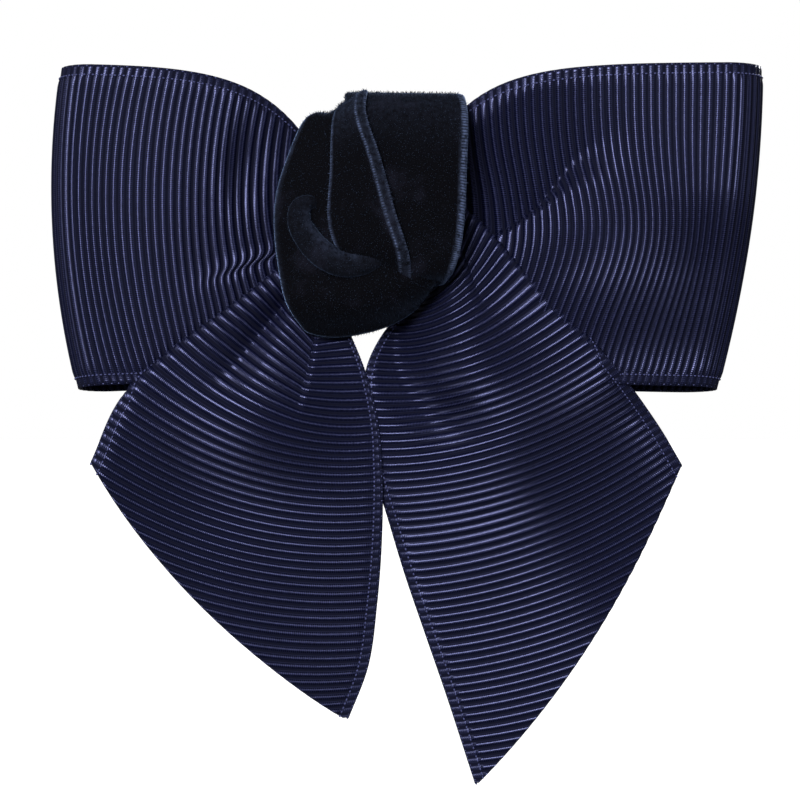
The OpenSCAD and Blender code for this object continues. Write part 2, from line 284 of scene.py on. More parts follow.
def millimetres(node):
    """Lowest and highest corner of a frame node, in millimetres"""
    low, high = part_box(node)
    return np.array(low) / MM, np.array(high) / MM


# ---------------------------------------------------------------- node trees

def made_once(kind, name):
    """Makes a builder of a node tree or material use the one that is there already"""
    def wrap(build):
        def found_or_built():
            return getattr(bpy.data, kind).get(name) or build(name)
        return found_or_built
    return wrap


def new_tree(name, inputs):
    tree = bpy.data.node_groups.new(name, "GeometryNodeTree")
    tree.interface.new_socket("Geometry", in_out="INPUT", socket_type="NodeSocketGeometry")
    for label, kind in inputs:
        tree.interface.new_socket(label, in_out="INPUT", socket_type="NodeSocket" + kind)
    tree.interface.new_socket("Geometry", in_out="OUTPUT", socket_type="NodeSocketGeometry")
    return tree


def feed(tree, node, **links):
    """Gives inputs a socket or a plain value; Base_Color is "Base Color" and _0 is the first"""
    for label, value in links.items():
        name = label.replace("_", " ").strip()
        socket = node.inputs[int(name)] if name.isdigit() else node.inputs[name]
        if isinstance(value, bpy.types.NodeSocket):
            tree.links.new(value, socket)
        else:
            socket.default_value = value


def add(tree, kind, settings=None, **links):
    """A node with its settings and its inputs"""
    node = tree.nodes.new(kind)
    for label, value in (settings or {}).items():
        setattr(node, label, value)
    feed(tree, node, **links)
    return node


def calc(tree, operation, first, second=0.0, third=0.0):
    return add(tree, "ShaderNodeMath", {"operation": operation}, _0=first, _1=second,
               _2=third).outputs[0]


def ramp(tree, value, low, high, start, end):
    """start up to low, end from high on and a smooth change between"""
    return add(tree, "ShaderNodeMapRange", {"interpolation_type": "SMOOTHSTEP"}, Value=value,
               From_Min=low, From_Max=high, To_Min=start, To_Max=end).outputs[0]


def rounded(tree, turn):
    """The round shape of one rib, 0 in its grooves and 1 on its top"""
    return calc(tree, "ABSOLUTE", calc(tree, "SINE", calc(tree, "MULTIPLY", turn, math.pi)))


def read(tree, label, kind="FLOAT"):
    """A named value stored on the mesh, for a geometry tree"""
    return add(tree, "GeometryNodeInputNamedAttribute", {"data_type": kind}, Name=label).outputs[0]


def end_tree(tree, geometry, material):
    real = add(tree, "GeometryNodeRealizeInstances", Geometry=geometry)
    dressed = add(tree, "GeometryNodeSetMaterial", Geometry=real.outputs[0], Material=material)
    out = tree.nodes.new("NodeGroupOutput")
    tree.links.new(dressed.outputs[0], out.inputs[0])


@made_once("node_groups", "ribbon ribs")
def rib_tree(name):
    """Stands the ribs up on a ribbon and gives it its thickness"""
    tree = new_tree(name, [
        ("Rib pitch", "Float"), ("Rib height", "Float"), ("Thickness", "Float"),
        ("Selvedge", "Float"), ("Material", "Material")])
    given = tree.nodes.new("NodeGroupInput").outputs
    turn = calc(tree, "DIVIDE", read(tree, "along"), given["Rib pitch"])
    rib = calc(tree, "POWER", rounded(tree, turn), 1.05)
    inner = calc(tree, "MULTIPLY", given["Selvedge"], 1.2)
    outer = calc(tree, "MULTIPLY", given["Selvedge"], 0.9)
    fade = ramp(tree, read(tree, "edge"), outer, inner, 0.3, 1.0)
    height = calc(tree, "MULTIPLY", calc(tree, "MULTIPLY", rib, fade), given["Rib height"])
    depth = calc(tree, "ADD", calc(tree, "MULTIPLY", given["Thickness"], 0.5), height)
    moved = calc(tree, "MULTIPLY", depth, read(tree, "side"))
    shift = add(tree, "ShaderNodeVectorMath", {"operation": "SCALE"},
                _0=read(tree, "out", "FLOAT_VECTOR"), Scale=moved)
    placed = add(tree, "GeometryNodeSetPosition", Geometry=given["Geometry"],
                 Offset=shift.outputs[0])
    end_tree(tree, placed.outputs[0], given["Material"])
    return tree


@made_once("node_groups", "edge stitches")
def stitch_tree(name):
    """Lays stitches end to end along lines"""
    tree = new_tree(name, [
        ("Pitch", "Float"), ("Length", "Float"), ("Width", "Float"), ("Material", "Material")])
    given = tree.nodes.new("NodeGroupInput").outputs
    curve = add(tree, "GeometryNodeMeshToCurve", Mesh=given["Geometry"])
    spaced = add(tree, "GeometryNodeResampleCurve", {"mode": "LENGTH"},
                 Curve=curve.outputs[0], Length=given["Pitch"])
    stitch = add(tree, "GeometryNodeMeshUVSphere", Segments=7, Rings=5, Radius=0.5)
    size = add(tree, "ShaderNodeCombineXYZ", X=given["Length"], Y=given["Width"],
               Z=given["Width"])
    shaped = add(tree, "GeometryNodeTransform", Geometry=stitch.outputs[0],
                 Scale=size.outputs[0])
    smooth = add(tree, "GeometryNodeSetShadeSmooth", Geometry=shaped.outputs[0])
    heading = tree.nodes.new("GeometryNodeInputTangent")
    turn = add(tree, "FunctionNodeAlignRotationToVector", {"axis": "X"},
               Vector=heading.outputs[0])
    laid = add(tree, "GeometryNodeInstanceOnPoints", Points=spaced.outputs[0],
               Instance=smooth.outputs[0], Rotation=turn.outputs[0])
    end_tree(tree, laid.outputs[0], given["Material"])
    return tree


@made_once("node_groups", "velvet pile")
def pile_tree(name):
    """Grows short leaning fibres on cloth"""
    tree = new_tree(name, [
        ("Density", "Float"), ("Length", "Float"), ("Seed", "Int"), ("Material", "Material")])
    given = tree.nodes.new("NodeGroupInput").outputs
    density = calc(tree, "MULTIPLY", given["Density"], read(tree, "pile"))
    spread = add(tree, "GeometryNodeDistributePointsOnFaces", Mesh=given["Geometry"],
                 Density=density, Seed=given["Seed"])
    width = calc(tree, "MULTIPLY", given["Length"], 0.14)
    fibre = add(tree, "GeometryNodeMeshCone", {"fill_type": "NONE"}, Vertices=3,
                Radius_Top=0.0, Radius_Bottom=width, Depth=given["Length"])
    lean = add(tree, "FunctionNodeRandomValue", {"data_type": "FLOAT_VECTOR"},
               _0=(-0.6, -0.6, 0.0), _1=(0.6, 0.6, 6.28), Seed=given["Seed"])
    turned = add(tree, "FunctionNodeRotateRotation", {"rotation_space": "LOCAL"},
                 Rotation=spread.outputs["Rotation"], Rotate_By=lean.outputs[0])
    size = add(tree, "FunctionNodeRandomValue", {"data_type": "FLOAT"},
               _2=0.6, _3=1.1, Seed=given["Seed"])
    grown = add(tree, "GeometryNodeInstanceOnPoints", Points=spread.outputs["Points"],
                Instance=fibre.outputs[0], Rotation=turned.outputs[0], Scale=size.outputs[1])
    end_tree(tree, grown.outputs[0], given["Material"])
    return tree


@made_once("node_groups", "round wire")
def wire_tree(name):
    """Makes a round thread or wire along a line"""
    tree = new_tree(name, [("Diameter", "Float"), ("Material", "Material")])
    given = tree.nodes.new("NodeGroupInput").outputs
    curve = add(tree, "GeometryNodeMeshToCurve", Mesh=given["Geometry"])
    radius = calc(tree, "MULTIPLY", given["Diameter"], 0.5)
    circle = add(tree, "GeometryNodeCurvePrimitiveCircle", Resolution=12, Radius=radius)
    body = add(tree, "GeometryNodeCurveToMesh", Curve=curve.outputs[0],
               Profile_Curve=circle.outputs[0], Fill_Caps=True)
    smooth = add(tree, "GeometryNodeSetShadeSmooth", Geometry=body.outputs[0])
    end_tree(tree, smooth.outputs[0], given["Material"])
    return tree


def grow(base, tree, values):
    """Applies a node tree to an object and keeps the result as its plain mesh"""
    modifier = base.modifiers.new(tree.name, "NODES")
    modifier.node_group = tree
    inputs = [s for s in tree.interface.items_tree if s.in_out == "INPUT"]
    for socket in inputs:
        if socket.name in values:
            modifier[socket.identifier] = values[socket.name]
    depsgraph = bpy.context.evaluated_depsgraph_get()
    made = bpy.data.meshes.new_from_object(
        base.evaluated_get(depsgraph), preserve_all_data_layers=True, depsgraph=depsgraph)
    base.modifiers.remove(modifier)
    made.name = base.name
    base.data = made
    return base


# ---------------------------------------------------------------- materials

def new_material(name):
    material = bpy.data.materials.new(name)
    material.use_nodes = True
    tree = material.node_tree
    return material, tree, tree.nodes["Principled BSDF"]


def stored(tree, label):
    """A named value stored on the mesh, for a material"""
    return add(tree, "ShaderNodeAttribute", {"attribute_name": label}).outputs["Fac"]


def blend_colour(tree, amount, first, second, kind="MIX"):
    ends = [c if isinstance(c, bpy.types.NodeSocket) else (*c, 1) for c in (first, second)]
    node = add(tree, "ShaderNodeMix", {"data_type": "RGBA", "blend_type": kind}, _0=amount,
               _6=ends[0], _7=ends[1])
    return node.outputs[2]


def bumps(tree, height, strength, distance):
    return add(tree, "ShaderNodeBump", Height=height, Strength=strength,
               Distance=distance).outputs[0]


def noise(tree, scale, detail=3.0, roughness=0.6):
    place = add(tree, "ShaderNodeTexCoord").outputs["Object"]
    node = add(tree, "ShaderNodeTexNoise", Vector=place, Scale=scale, Detail=detail,
               Roughness=roughness)
    return node.outputs["Fac"]


@made_once("materials", "ribbed ribbon")
def grosgrain(name):
    """Ribbed ribbon: grooves darkened with painted shade, a painted highlight along each rib's
    top, a warp of fine threads over the ribs and a violet shine
    """
    made, tree, shader = new_material(name)
    colour = colours()
    warp_pitch = 0.00031
    across = stored(tree, "across")
    wave = rounded(tree, stored(tree, "turn"))
    thread = calc(tree, "SINE", calc(tree, "MULTIPLY", across, 2 * math.pi / warp_pitch))
    slub = noise(tree, 2600.0, 2.0)
    cloud = noise(tree, 70.0, 3.0)
    # Painted shade: the colour goes from the rib colour on the rib tops to the darker groove
    # colour in the grooves
    depth = calc(tree, "POWER", wave, 1.3)
    base = blend_colour(tree, depth, tuple(colour.groove), tuple(colour.rib))
    # Painted highlight: a lighter line in the crest highlight colour along the top of each rib,
    # fainter on the selvedge
    crest_highlight = ramp(tree, wave, 0.95, 1.0, 0.0, 1.0)
    woven = ramp(tree, stored(tree, "edge"), 0.0014, 0.0020, 0.62, 1.0)
    crest_highlight = calc(tree, "MULTIPLY", crest_highlight, calc(tree, "MULTIPLY_ADD", thread, 0.3, 0.7))
    crest_highlight = calc(tree, "MULTIPLY", crest_highlight, woven)
    base = blend_colour(tree, crest_highlight, base, tuple(colour.crest_highlight))
    fleck = calc(tree, "MULTIPLY_ADD", thread, 0.16, calc(tree, "MULTIPLY_ADD", slub, 1.1, 0.15))
    fleck = calc(tree, "MULTIPLY", fleck, calc(tree, "MULTIPLY_ADD", cloud, 0.6, 0.95))
    shade = add(tree, "ShaderNodeCombineColor", _0=fleck, _1=fleck, _2=fleck).outputs[0]
    base = blend_colour(tree, 1.0, base, shade, "MULTIPLY")
    # Rough in the grooves and glossy on the rounded tops, so each rib draws one thin bright line
    round_top = ramp(tree, calc(tree, "MULTIPLY", wave, woven), 0.3, 0.62, 0.95, 0.2)
    dotted = calc(tree, "MULTIPLY_ADD", thread, 0.05, round_top)
    weave = calc(tree, "MULTIPLY_ADD", thread, 0.5, slub)
    feed(tree, shader, Base_Color=base, Roughness=calc(tree, "MULTIPLY_ADD", slub, 0.12, dotted),
         Normal=bumps(tree, weave, 0.6, 0.000014), Specular_IOR_Level=0.6,
         Specular_Tint=(*colour.ribbon_shine, 1))
    return made


@made_once("materials", "edge yarn")
def edge_yarn(name):
    """The twisted yarn that binds the ribbon's edge"""
    made, tree, shader = new_material(name)
    colour = colours()
    fibre = noise(tree, 4000.0, 2.0)
    base = blend_colour(tree, fibre, tuple(colour.crest_highlight), tuple(v * 3 for v in colour.crest_highlight))
    feed(tree, shader, Base_Color=base, Roughness=0.42, Specular_IOR_Level=0.8,
         Specular_Tint=(*colour.ribbon_shine, 1), Normal=bumps(tree, fibre, 0.5, 0.000015))
    return made


def velvet(name="knot velvet", lift=1.0):
    """Near-black pile with a cold sheen, the bluer woven ground at the selvedges and painted
    sheen; lift makes the pile colours lighter
    """
    made = bpy.data.materials.get(name)
    if made:
        return made
    made, tree, shader = new_material(name)
    colour = colours()
    dash_pitch = 0.0004
    ground_and_sheen = stored(tree, "ground_and_sheen")
    run = stored(tree, "run")
    nap = noise(tree, 160.0, 4.0)
    fluff = noise(tree, 2400.0, 2.0)
    tuft = noise(tree, 1500.0, 4.0)
    dash = calc(tree, "SINE", calc(tree, "MULTIPLY", run, 2 * math.pi / dash_pitch))
    shown = ramp(tree, ground_and_sheen, 0.3, 0.5, 0.0, 0.45)
    dash = calc(tree, "MULTIPLY_ADD", dash, shown, 0.7)
    pile = tuple(v * lift for v in colour.pile)
    crushed = tuple(v * lift * 4.0 for v in colour.pile)
    brushed = ramp(tree, nap, 0.52, 0.72, 0.0, 1.0)
    base = blend_colour(tree, brushed, pile, crushed)
    amount = calc(tree, "MULTIPLY", calc(tree, "MULTIPLY", ground_and_sheen, dash),
                  calc(tree, "MULTIPLY_ADD", tuft, 3.2, -0.9))
    # The woven ground's colour where the edges show it, and painted sheen where the curl and the
    # folds' tops are marked
    base = blend_colour(tree, amount, base, tuple(colour.edge_and_sheen))
    feed(tree, shader, Base_Color=base, Roughness=0.95, Specular_IOR_Level=0.08,
         Sheen_Weight=0.8, Sheen_Roughness=0.3, Sheen_Tint=(0.2, 0.3, 0.55, 1),
         Normal=bumps(tree, calc(tree, "MULTIPLY_ADD", nap, 1.5, fluff), 0.5, 0.00003))
    return made


@made_once("materials", "binding thread")
def binding_thread(name):
    """Two-ply thread, darker between its plies with painted shade"""
    made, tree, shader = new_material(name)
    colour = colours()
    place = add(tree, "ShaderNodeTexCoord").outputs["Object"]
    ply = add(tree, "ShaderNodeTexWave", Vector=place, Scale=900.0, Distortion=1.5)
    # Painted shade: the groove colour lies between the plies and the rib colour on them
    base = blend_colour(tree, ply.outputs["Fac"], tuple(colour.groove), tuple(colour.rib))
    feed(tree, shader, Base_Color=base, Roughness=0.5,
         Normal=bumps(tree, ply.outputs["Fac"], 0.7, 0.00008))
    return made


def plated_steel(name, shade, rough):
    """Nickel-plated steel with rolling marks, fine scratches and duller patches"""
    made = bpy.data.materials.get(name)
    if made:
        return made
    made, tree, shader = new_material(name)
    place = add(tree, "ShaderNodeTexCoord").outputs["Object"]
    stretched = add(tree, "ShaderNodeMapping", Vector=place, Scale=(120.0, 1600.0, 1600.0))
    rolled = add(tree, "ShaderNodeTexNoise", Vector=stretched.outputs[0], Scale=1.0,
                 Detail=4.0).outputs["Fac"]
    patch = noise(tree, 220.0, 3.0)
    steel = tuple(v * shade for v in colours().steel)
    dull = tuple(v * 0.72 for v in steel)
    base = blend_colour(tree, patch, steel, dull)
    grain = calc(tree, "MULTIPLY_ADD", rolled, 0.16, rough)
    feed(tree, shader, Base_Color=base, Metallic=1.0,
         Roughness=calc(tree, "MULTIPLY_ADD", patch, 0.14, grain),
         Normal=bumps(tree, rolled, 0.25, 0.00003))
    return made


# ---------------------------------------------------------------- ribbons

def ribbed_cloth(name, centre, along, across, edge, pitch, flip, finish):
    """Closed ribbed cloth over a grid of centre points, and its outward normals there"""
    out = outward(centre, flip)
    places = {"along": along * MM, "across": across * MM, "edge": edge * MM, "turn": along / pitch}
    values = {label: np.tile(data.ravel(), 2) for label, data in places.items()}
    values["side"] = np.repeat([1.0, -1.0], along.size)
    vectors = {"out": np.vstack([out.reshape(-1, 3)] * 2)}
    points = np.vstack([centre.reshape(-1, 3)] * 2)
    made = make_object(name, points, grid_faces(*along.shape, flip), values, vectors)
    grow(made, rib_tree(), {"Rib pitch": pitch * MM, "Material": grosgrain(), **finish})
    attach(made, BOW)
    return made, out


def ribbon(name, centre, along, across, pitch, flip):
    """One length of the bow's wide ribbon, and its outward normals"""
    size = sizes()
    edge = np.minimum(across, RIBBON_WIDTH - across)
    return ribbed_cloth(name, centre, along, across, edge, pitch, flip, {
        "Rib height": size.rib_height, "Thickness": size.ribbon_thickness,
        "Selvedge": size.selvedge})


def polylines(lines):
    """Points and edges of several open lines"""
    points, edges, start = [], [], 0
    for line in lines:
        points.append(line)
        edges += [(start + k, start + k + 1) for k in range(len(line) - 1)]
        start += len(line)
    return np.vstack(points), edges


def line_across(centre, out, across, distance):
    """The line on a ribbon that keeps one distance from its first edge, where the cloth has it"""
    columns = np.arange(across.shape[1])
    kept = (across[:, 0] <= distance + 0.01) & (across[:, -1] >= distance - 0.01)
    places, normals = [], []
    for row in np.flatnonzero(kept):
        at = np.interp(distance, across[row], columns)
        low = int(min(at, columns[-1] - 1))
        share = at - low
        places.append(centre[row, low] * (1 - share) + centre[row, low + 1] * share)
        normals.append(out[row, low])
    return np.array(places), np.array(normals)


def edge_stitches(name, centre, out, across, sides):
    """Rows of stitches just inside a ribbon's edges, and the yarn looped over each edge"""
    size = sizes()
    raised = (size.ribbon_thickness / 2 + size.rib_height * 0.55) / MM
    inset = size.selvedge / MM * 0.85
    rim = 0.2
    inner, outer = [], []
    for distance in (inset, RIBBON_WIDTH - inset):
        line, normal = line_across(centre, out, across, distance)
        inner += [line + normal * raised * side for side in sides]
    for distance in (rim, RIBBON_WIDTH - rim):
        outer.append(line_across(centre, out, across, distance)[0])
    points, edges = polylines(inner)
    dashes = make_object(name, points, [], edges=edges)
    grow(dashes, stitch_tree(), {
        "Pitch": size.stitch_pitch, "Length": size.stitch_length,
        "Width": size.stitch_width, "Material": edge_yarn()})
    points, edges = polylines(outer)
    loops = make_object(name + "_rim", points, [], edges=edges)
    grow(loops, stitch_tree(), {
        "Pitch": size.stitch_pitch * 0.7, "Length": size.stitch_length * 1.3,
        "Width": size.ribbon_thickness * 1.5, "Material": edge_yarn()})
    made = join(name, [dashes, loops])
    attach(made, BOW)
    return made


def ridge_step(x):
    """Width of the ridge's sharp side, which softens towards its outer end"""
    return 0.9 + 6.0 * ease((x - 22) / 16)


class Loop:
    """One loop of the bow, in millimetres measured outwards from the middle"""

    # The gathered end: how far it runs past the middle, its height and half its thickness
    neck_past, neck_height, neck_ply = 3.0, 14.0, 0.75
    # Where the ribbon starts to spread to its full width, and over what distance
    spread_from, spread_over = 6.5, 8.0
    # Where the two layers start to part, and how far out they take to open and to settle
    part_from, open_over, settle_over = 5.0, 30.0, 17.0
    # How far the back layer hangs below the front one, and the room left for the outer ribs
    peek, rib_room = 1.0, 0.3

    def __init__(self, node, side, belly, lean, fold, neck_y, relief, tuck, bow):
        self.node, self.side, self.belly, self.lean = node, side, belly, lean
        self.fold, self.neck_y = fold, neck_y
        self.relief, self.tuck, self.bow = relief, tuck, bow
        low, high = millimetres(node)
        self.far = max(-low[0], high[0]) - self.rib_room
        self.mid_y = (low[1] + high[1]) / 2

    def reach(self, down):
        """How far the outer fold lies at each height, from 0 at the top to 1 at the bottom"""
        line = np.linspace(0, 1, 41)
        shape = self.belly * 4 * line * (1 - line) - self.lean * line
        return (self.far - shape.max()
                + self.belly * 4 * down * (1 - down) - self.lean * down)

    def surface(self, pitch):
        straight = self.reach(0.5) - self.fold + self.neck_past
        total = 2 * straight + math.pi * self.fold
        ribs = int(round(total / pitch))
        line = np.linspace(0, total, ribs * RIB_STEPS + 1)
        down = np.linspace(0, 1, RIBBON_COLUMNS + 1)
        s, d = np.meshgrid(line, down, indexing="ij")
        reach = self.reach(d)
        run = reach - self.fold + self.neck_past
        share = np.clip(np.where(s < total / 2, s, total - s) / straight, 0, 1)
        turn = np.clip((s - straight) / self.fold, 0, math.pi)
        flat = (s <= straight) | (s >= total - straight)
        bent = reach - self.fold + self.fold * np.sin(turn)
        x = np.where(flat, share * run - self.neck_past, bent)
        opened = ease((x - self.part_from) / self.open_over)
        settled = ease((x - self.part_from) / self.settle_over)
        half = self.neck_ply + (self.fold - self.neck_ply) * opened
        middle = self.neck_y + (self.mid_y - self.neck_y) * settled
        front = s < total / 2
        y = np.where(flat, np.where(front, middle - half, middle + half),
                     middle - self.fold * np.cos(turn))
        spread = 1 - np.exp(-np.maximum(x - self.spread_from, 0) / self.spread_over)
        tall = self.neck_height + (RIBBON_WIDTH - self.neck_height) * spread
        z = (0.5 - d) * tall
        facing = ease((total / 2 - s) / (math.pi * self.fold) + 0.5)
        forward = self.relief(x, z) * facing
        tuck = self.tuck(x, z) * facing
        shift = self.bow(x, z, d)
        x = x + shift * ease((reach - x) / 12)
        z = z - self.peek * (1 - facing) * ease((x - 8) / 15) - tuck
        centre = np.stack([self.side * x, y - forward, z], axis=2)
        pitch = total / ribs
        return centre, s, d * RIBBON_WIDTH, pitch, total


def pinch_height(x, z):
    """How far a point of the left loop lies above the pinch that runs out of the knot"""
    return (z + 5 + 0.39 * (x - 15.8)) * 0.93


def left_relief(x, z):
    """How far forward the pinch pushes the cloth, with a hollow above it"""
    above = pinch_height(x, z)
    near = ease((30 - x) / 12)
    step = ease(above / 5.0 + 0.5)
    pinch = -0.7 * step * np.clip(1 - above / 12, 0, 1) + 0.4 * (1 - step) * np.exp(above / 6)
    hollow = -1.3 * hump(x, 19, 2.6) * hump(z, 9, 6)
    return (pinch * near + hollow) * ease((x - 9) / 5)


def left_tuck(x, z):
    """The left loop's cloth slips behind nothing"""
    return 0 * x


def left_bow(x, z, d):
    """How far outwards the ribs bow, and how they kink at the pinch"""
    above = pinch_height(x, z)
    near = ease((28 - x) / 12) * ease((x - 9) / 5)
    pinch = -1.5 * np.tanh(above / 1.1) * np.exp(-np.abs(above) / 4.5)
    return 1.6 * (1 - (2 * d - 1) ** 2) * ease((x - 8) / 10) + pinch * near


def right_relief(x, z):
    """A deep fold that sinks behind a slanted ridge, which swells forward below"""
    above = ridge_height(x, z)
    near = ease((42 - x) / 18)
    step = ease(above / ridge_step(x) + 0.5 * ease((x - 22) / 16))
    sunk = -3.2 * step * np.clip(1 - above / 15, 0, 1)
    swell = 0.9 * (1 - step) * hump(above, -4, 6)
    turned = -3.4 * ease((x - 34) / 24) * ease((6 - z) / 18) - 2.0 * ease((-8 - z) / 14)
    return ((sunk + swell) * near + turned) * ease((x - 9) / 6)


def ridge_height(x, z):
    """How far a point of the right loop lies above its slanted ridge"""
    return (z + 2 - 0.61 * (x - 15.5)) * 0.854


def right_tuck(x, z):
    """How far the cloth above the ridge slips down behind it"""
    above = ridge_height(x, z)
    tucked = ease(above / ridge_step(x)) * ease((7 - above) / 6.5)
    return 1.5 * tucked * ease((33 - x) / 14) * ease((x - 9) / 6)


def right_bow(x, z, d):
    """How far outwards the ribs bow"""
    return 3.8 * hump(z, -2, 12) * ease((x - 9) / 9) * ease((62 - x) / 30)


def make_loops():
    """Both loops, each a length of ribbon doubled over"""
    pitch = sizes().rib_pitch / MM
    loops = [
        Loop("left_loop", -1, 2.5, 2.6, 5.0, -4.05, left_relief, left_tuck, left_bow),
        Loop("right_loop", 1, 1.6, 6.8, 5.7, -7.05, right_relief, right_tuck, right_bow),
    ]
    for loop in loops:
        centre, along, across, rib, total = loop.surface(pitch)
        flip = loop.side > 0
        name = loop.node + "_ribbon"
        made, out = ribbon(name, centre, along, across, rib, flip)
        stitches = edge_stitches(loop.node + "_stitches", centre, out, across, (1,))
        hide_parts(loop.node)


class Tail:
    """One tail: its two edges from the knot down, as shares of how far out and down it hangs"""

    # The outer border rolls back near the knot: its radius there and how much cloth it hides
    roll_radius, roll_width = 0.8, 9.0
    # Cloth left off the cut's sharp tip
    blunted = 0.4

    def __init__(self, node, layer_y, stations, forward, cut, sag, relief, roll_end):
        self.node, self.layer_y, self.sag, self.roll_end = node, layer_y, sag, roll_end
        self.stations, self.forward, self.cut, self.relief = stations, forward, cut, relief
        low, high = millimetres(node)
        self.out = max(-low[0], high[0])
        self.drop = -low[2]

    def surface(self, pitch):
        first = self.stations[0][0]
        last = max(self.cut) - self.blunted
        count = int((last - first) / pitch * RIB_STEPS)
        line = first + np.arange(count + 1) * pitch / RIB_STEPS
        scale = np.array([self.out, self.drop, self.out, self.drop])
        knots = [s[0] for s in self.stations]
        edges = through(knots, np.array([s[1] for s in self.stations]) * scale, line)
        depth = through(knots, [self.forward(k) for k in knots], line)
        columns = np.linspace(0, 1, RIBBON_COLUMNS + 1)
        u, q = np.meshgrid(line, columns, indexing="ij")
        start, end = self.cut
        gone = np.clip((u - min(start, end)) / abs(end - start), 0, 1)
        v = gone + (1 - gone) * q if start < end else (1 - gone) * q
        left = edges[:, None, 0:2]
        right = edges[:, None, 2:4]
        seen, behind = self.rolled(u, v, np.linalg.norm(right - left, axis=2))
        place = left + (right - left) * seen[:, :, None]
        place[:, :, 1] -= self.sag(u, seen)
        y = self.layer_y - (depth[:, None, 0] + (depth[:, None, 1] - depth[:, None, 0]) * seen)
        y = y - self.relief(u, seen) + behind
        centre = np.stack([place[:, :, 0], y, place[:, :, 1]], axis=2)
        return centre, u, v * RIBBON_WIDTH

    def rolled(self, u, v, width):
        """Where each point lies across the seen width, and how far the outer border rolls back"""
        hidden = self.roll_width * np.clip(1 - np.maximum(u, 0) / self.roll_end, 0, 1)
        bend = self.roll_radius * np.clip(hidden / 2, 0.02, 1)
        from_border = (v if self.cut[0] < self.cut[1] else 1 - v) * RIBBON_WIDTH
        past = (from_border - hidden) * (width + bend) / (RIBBON_WIDTH - hidden)
        bent = np.sqrt(past**2 + bend**2)
        seen = (bent - bend) / width
        behind = bend * (1 - past / bent)
        return (seen if self.cut[0] < self.cut[1] else 1 - seen), behind


# Each station: how far along the tail, then (left x, left z, right x, right z) as shares
LEFT_STATIONS = [
    (-18, (0.05, 0.08, 0.05, -0.07)),
    (-8, (-0.19, -0.01, -0.15, -0.12)),
    (0, (-0.33, -0.09, -0.095, -0.197)),
    (8, (-0.51, -0.17, -0.02, -0.30)),
    (16, (-0.70, -0.25, 0.028, -0.41)),
    (22, (-0.858, -0.326, 0.04, -0.487)),
    (34, (-1.005, -0.483, 0.04, -0.64)),
    (44, (-1.10, -0.605, 0.023, -0.77)),
    (54, (-1.16, -0.737, -0.01, -0.90)),
    (63, (-1.21, -0.855, -0.084, -1.01)),
]
RIGHT_STATIONS = [
    (-16, (-0.04, -0.057, -0.04, 0.07)),
    (-6, (0.16, -0.07, 0.20, 0.057)),
    (0, (0.186, -0.115, 0.315, 0.018)),
    (9, (0.047, -0.187, 0.464, -0.07)),
    (16, (-0.016, -0.258, 0.60, -0.15)),
    (24, (-0.012, -0.35, 0.732, -0.223)),
    (32, (0.012, -0.44, 0.835, -0.29)),
    (40, (0.058, -0.53, 0.928, -0.362)),
    (47, (0.103, -0.614, 0.998, -0.427)),
    (57, (0.17, -0.724, 1.10, -0.523)),
    (67, (0.237, -0.832, 1.195, -0.62)),
    (83, (0.335, -1.0, 1.32, -0.79)),
]


def left_sag(u, v):
    """How far the ribs hang, sharp at the knot and round lower down"""
    fold = 0.585
    tent = np.where(v < fold, v / fold, (1 - v) / (1 - fold))
    crisp = 1 - ease((u - 6) / 12)
    return 4.4 * (crisp * tent + (1 - crisp) * 4 * v * (1 - v)) * ease((u + 12) / 12)


def left_tail_relief(u, v):
    """How far forward the left tail's folds stand"""
    valley = -1.9 * hump(v, 0.22, 0.07) * between(u, -6, 10, 9)
    crease = 0.7 * ease((v - 0.575) / 0.03) * np.exp(-np.maximum(v - 0.585, 0) / 0.18)
    crease = crease * between(u, -8, 10, 7)
    swell = 2.2 * hump(u, 17, 8) * hump(v, 0.45, 0.25)
    slope = -1.3 * hump(u, 31, 8) * hump(v, 0.35, 0.3)
    return valley + crease + swell + slope


def right_sag(u, v):
    """How far the ribs hang"""
    return 3.4 * 4 * v * (1 - v) * ease((u + 8) / 14)


def right_tail_relief(u, v):
    """How far forward the right tail's folds stand"""
    groove = -2.6 * hump(v, 0.1 + 0.0135 * (u - 9), 0.13) * between(u, 8, 22, 10)
    swell = 1.6 * hump(v, 0.52, 0.2) * between(u, 2, 18, 9)
    pleat = -0.7 * ease((v - 0.68) / 0.05) * between(u, -12, 6, 8)
    bulge = 1.5 * hump(u, 34, 9) * hump(v, 0.3, 0.35)
    camber = -2.2 * ease((v - 0.5) / 0.5) * between(u, 16, 90, 12)
    camber = camber - 3.6 * ease((v - 0.4) / 0.6) * ease((u - 24) / 14)
    return groove + swell + pleat + bulge + camber


def left_forward(k):
    """Forward of the layer at the left and the right edge"""
    return (5.3 * ease((k + 10) / 30), 2.9 * ease((k + 8) / 34) - 1.7 * ease((k - 30) / 34))


def right_forward(k):
    """Forward of the layer at the left and the right edge"""
    return (2.9 * ease((k + 8) / 30) - 1.2 * ease((k - 36) / 44),
            0.6 + 6.0 * ease((k + 12) / 22) + 1.4 * ease((k - 4) / 20) - 3.2 * ease((k - 26) / 26))


def make_tails():
    """Both tails, each cut on a slant"""
    pitch = sizes().rib_pitch / MM
    tails = [
        Tail("left_tail", -10.8, LEFT_STATIONS, left_forward, (34, 63), left_sag,
             left_tail_relief, 24),
        Tail("right_tail", -9.3, RIGHT_STATIONS, right_forward, (83, 47), right_sag,
             right_tail_relief, 26),
    ]
    for tail in tails:
        centre, along, across = tail.surface(pitch)
        name = tail.node + "_ribbon"
        made, out = ribbon(name, centre, along, across, pitch, True)
        stitches = edge_stitches(tail.node + "_stitches", centre, out, across, (1, -1))
        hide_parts(tail.node)


# ---------------------------------------------------------------- velvet knot

